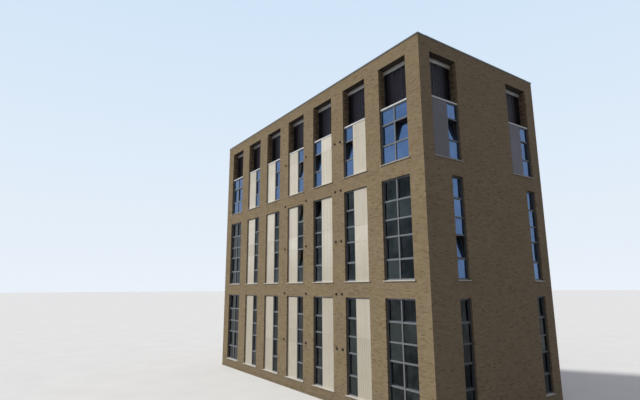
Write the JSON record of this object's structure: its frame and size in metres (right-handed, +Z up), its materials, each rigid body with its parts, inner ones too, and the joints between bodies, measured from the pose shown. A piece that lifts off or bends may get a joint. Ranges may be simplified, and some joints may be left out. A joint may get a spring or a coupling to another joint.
{
  "type": "apartment block",
  "caption": "Flat-roofed brick apartment block with double-height openings, infill panels, tall windows and a recessed glazed top storey.",
  "frame": {"origin": "centre of the block's footprint at ground level", "axes": "+Z up; +X along the long front towards the near corner of the picture; the long front faces -Y"},
  "size_m": [22.85, 10, 18.48],
  "materials": {
    "concrete": "cast concrete",
    "roofing": "matt membrane",
    "coping_metal": "satin",
    "brick": "buff brick with mortar joints",
    "frame_grey": "satin",
    "sash_grey": "satin",
    "window_glass": "clear double glazing",
    "panel_cream": "matt",
    "panel_grey": "matt",
    "sill_metal": "satin",
    "lining": "matt",
    "ledge_white": "satin",
    "beam_cream": "satin",
    "screen_dark": "satin",
    "dark_glass": "tinted glazing",
    "vent_plastic": "matt"
  },
  "bodies": {
    "root": {"ground_floor": "concrete", "first_floor": "concrete", "second_floor": "concrete", "third_floor": "concrete", "fourth_floor": "concrete", "fifth_floor": "concrete", "roof_slab": "concrete", "roof_covering": "roofing", "parapet_coping": "coping_metal", "spandrel_linings": "lining", "recess_ledges": "ledge_white", "recess_beams": "beam_cream", "recess_screens": "screen_dark", "recess_glass": "dark_glass", "wall_vents": "vent_plastic", "front_wall": "brick", "front_window_frames": "frame_grey", "front_opening_lights": "sash_grey", "front_glass": "window_glass", "front_panels": "panel_cream", "front_sills": "sill_metal", "east_wall": "brick", "east_window_frames": "frame_grey", "east_opening_lights": "sash_grey", "east_glass": "window_glass", "east_panels": "panel_grey", "east_sills": "sill_metal", "back_wall": "brick", "back_window_frames": "frame_grey", "back_opening_lights": "sash_grey", "back_glass": "window_glass", "back_panels": "panel_cream", "back_sills": "sill_metal", "west_wall": "brick", "west_window_frames": "frame_grey", "west_opening_lights": "sash_grey", "west_glass": "window_glass", "west_panels": "panel_grey", "west_sills": "sill_metal"}
  },
  "joints": []
}
